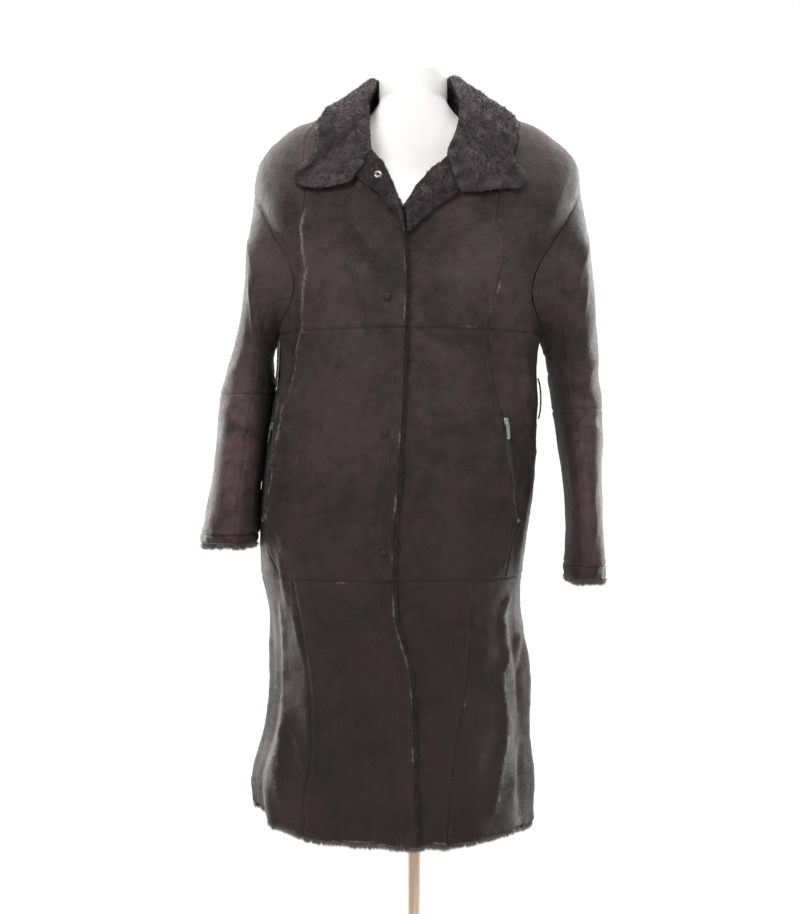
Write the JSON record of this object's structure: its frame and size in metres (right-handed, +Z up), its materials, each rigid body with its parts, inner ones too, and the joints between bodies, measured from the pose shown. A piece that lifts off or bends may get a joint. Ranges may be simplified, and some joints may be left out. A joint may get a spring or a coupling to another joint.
{
  "type": "shearling leather coat on a limbless dress form stand",
  "caption": "Long dark brown shearling coat with a turned-down fur collar, slanted zip pockets and press snaps, hanging on a white limbless dress form with a wooden pole and round base.",
  "frame": {"origin": "centre of the stand's base on the floor", "axes": "+Z up along the pole, -Y out of the coat's front, +X towards the wearer's left"},
  "size_m": [0.6147, 0.3506, 1.4915],
  "materials": {
    "leather": "soft nappa-faced shearling, low sheen, worn lighter along edges",
    "fur": "short dense clipped fur",
    "zip_tape": "woven tape",
    "steel": "polished",
    "form": "matte white",
    "beech": "satin varnish",
    "base": "white powder coat"
  },
  "bodies": {
    "coat": {"front_lower_centre_R": "leather", "front_lower_centre_L": "leather", "front_lower_side_R": "leather", "front_lower_side_L": "leather", "front_middle_centre_R": "leather", "front_middle_centre_L": "leather", "front_middle_side_R": "leather", "front_middle_side_L": "leather", "front_upper_centre_R": "leather", "front_upper_centre_L": "leather", "front_upper_side_R": "leather", "front_upper_side_L": "leather", "back_lower_centre": "leather", "back_lower_side_R": "leather", "back_lower_side_L": "leather", "back_middle_centre": "leather", "back_middle_side_R": "leather", "back_middle_side_L": "leather", "back_upper_centre": "leather", "back_upper_side_R": "leather", "back_upper_side_L": "leather", "sleeve_upper_top_R": "leather", "sleeve_upper_top_L": "leather", "sleeve_upper_under_R": "leather", "sleeve_upper_under_L": "leather", "sleeve_lower_top_R": "leather", "sleeve_lower_top_L": "leather", "sleeve_lower_under_R": "leather", "sleeve_lower_under_L": "leather", "cuff_R": "leather", "cuff_L": "leather", "belt_loop_R": "leather", "belt_loop_L": "leather", "snap_cap_1": "leather", "snap_cap_2": "leather", "snap_cap_3": "leather", "collar": "fur", "facing_R": "fur", "facing_L": "fur", "pocket_zip_R": "zip_tape", "pocket_zip_L": "zip_tape", "zip_slider_R": "steel", "zip_slider_L": "steel", "zip_stop_R": "steel", "zip_stop_L": "steel", "snap_open": "steel", "form_torso": "form", "form_pole": "beech", "form_base": "base"},
    "pull_R": {"zip_pull_R": "steel"},
    "pull_L": {"zip_pull_L": "steel"}
  },
  "joints": [
    {"name": "pull_R_hinge", "type": "hinge", "parent": "coat", "child": "pull_R", "pos_m": [-0.21709, -0.07133, 0.93704], "axis": [-0.4398, 0.8965, 0.0546], "range_deg": [0, 120]},
    {"name": "pull_L_hinge", "type": "hinge", "parent": "coat", "child": "pull_L", "pos_m": [0.13524, -0.12362, 0.94114], "axis": [-0.8409, -0.5267, -0.1243], "range_deg": [0, 120]}
  ]
}
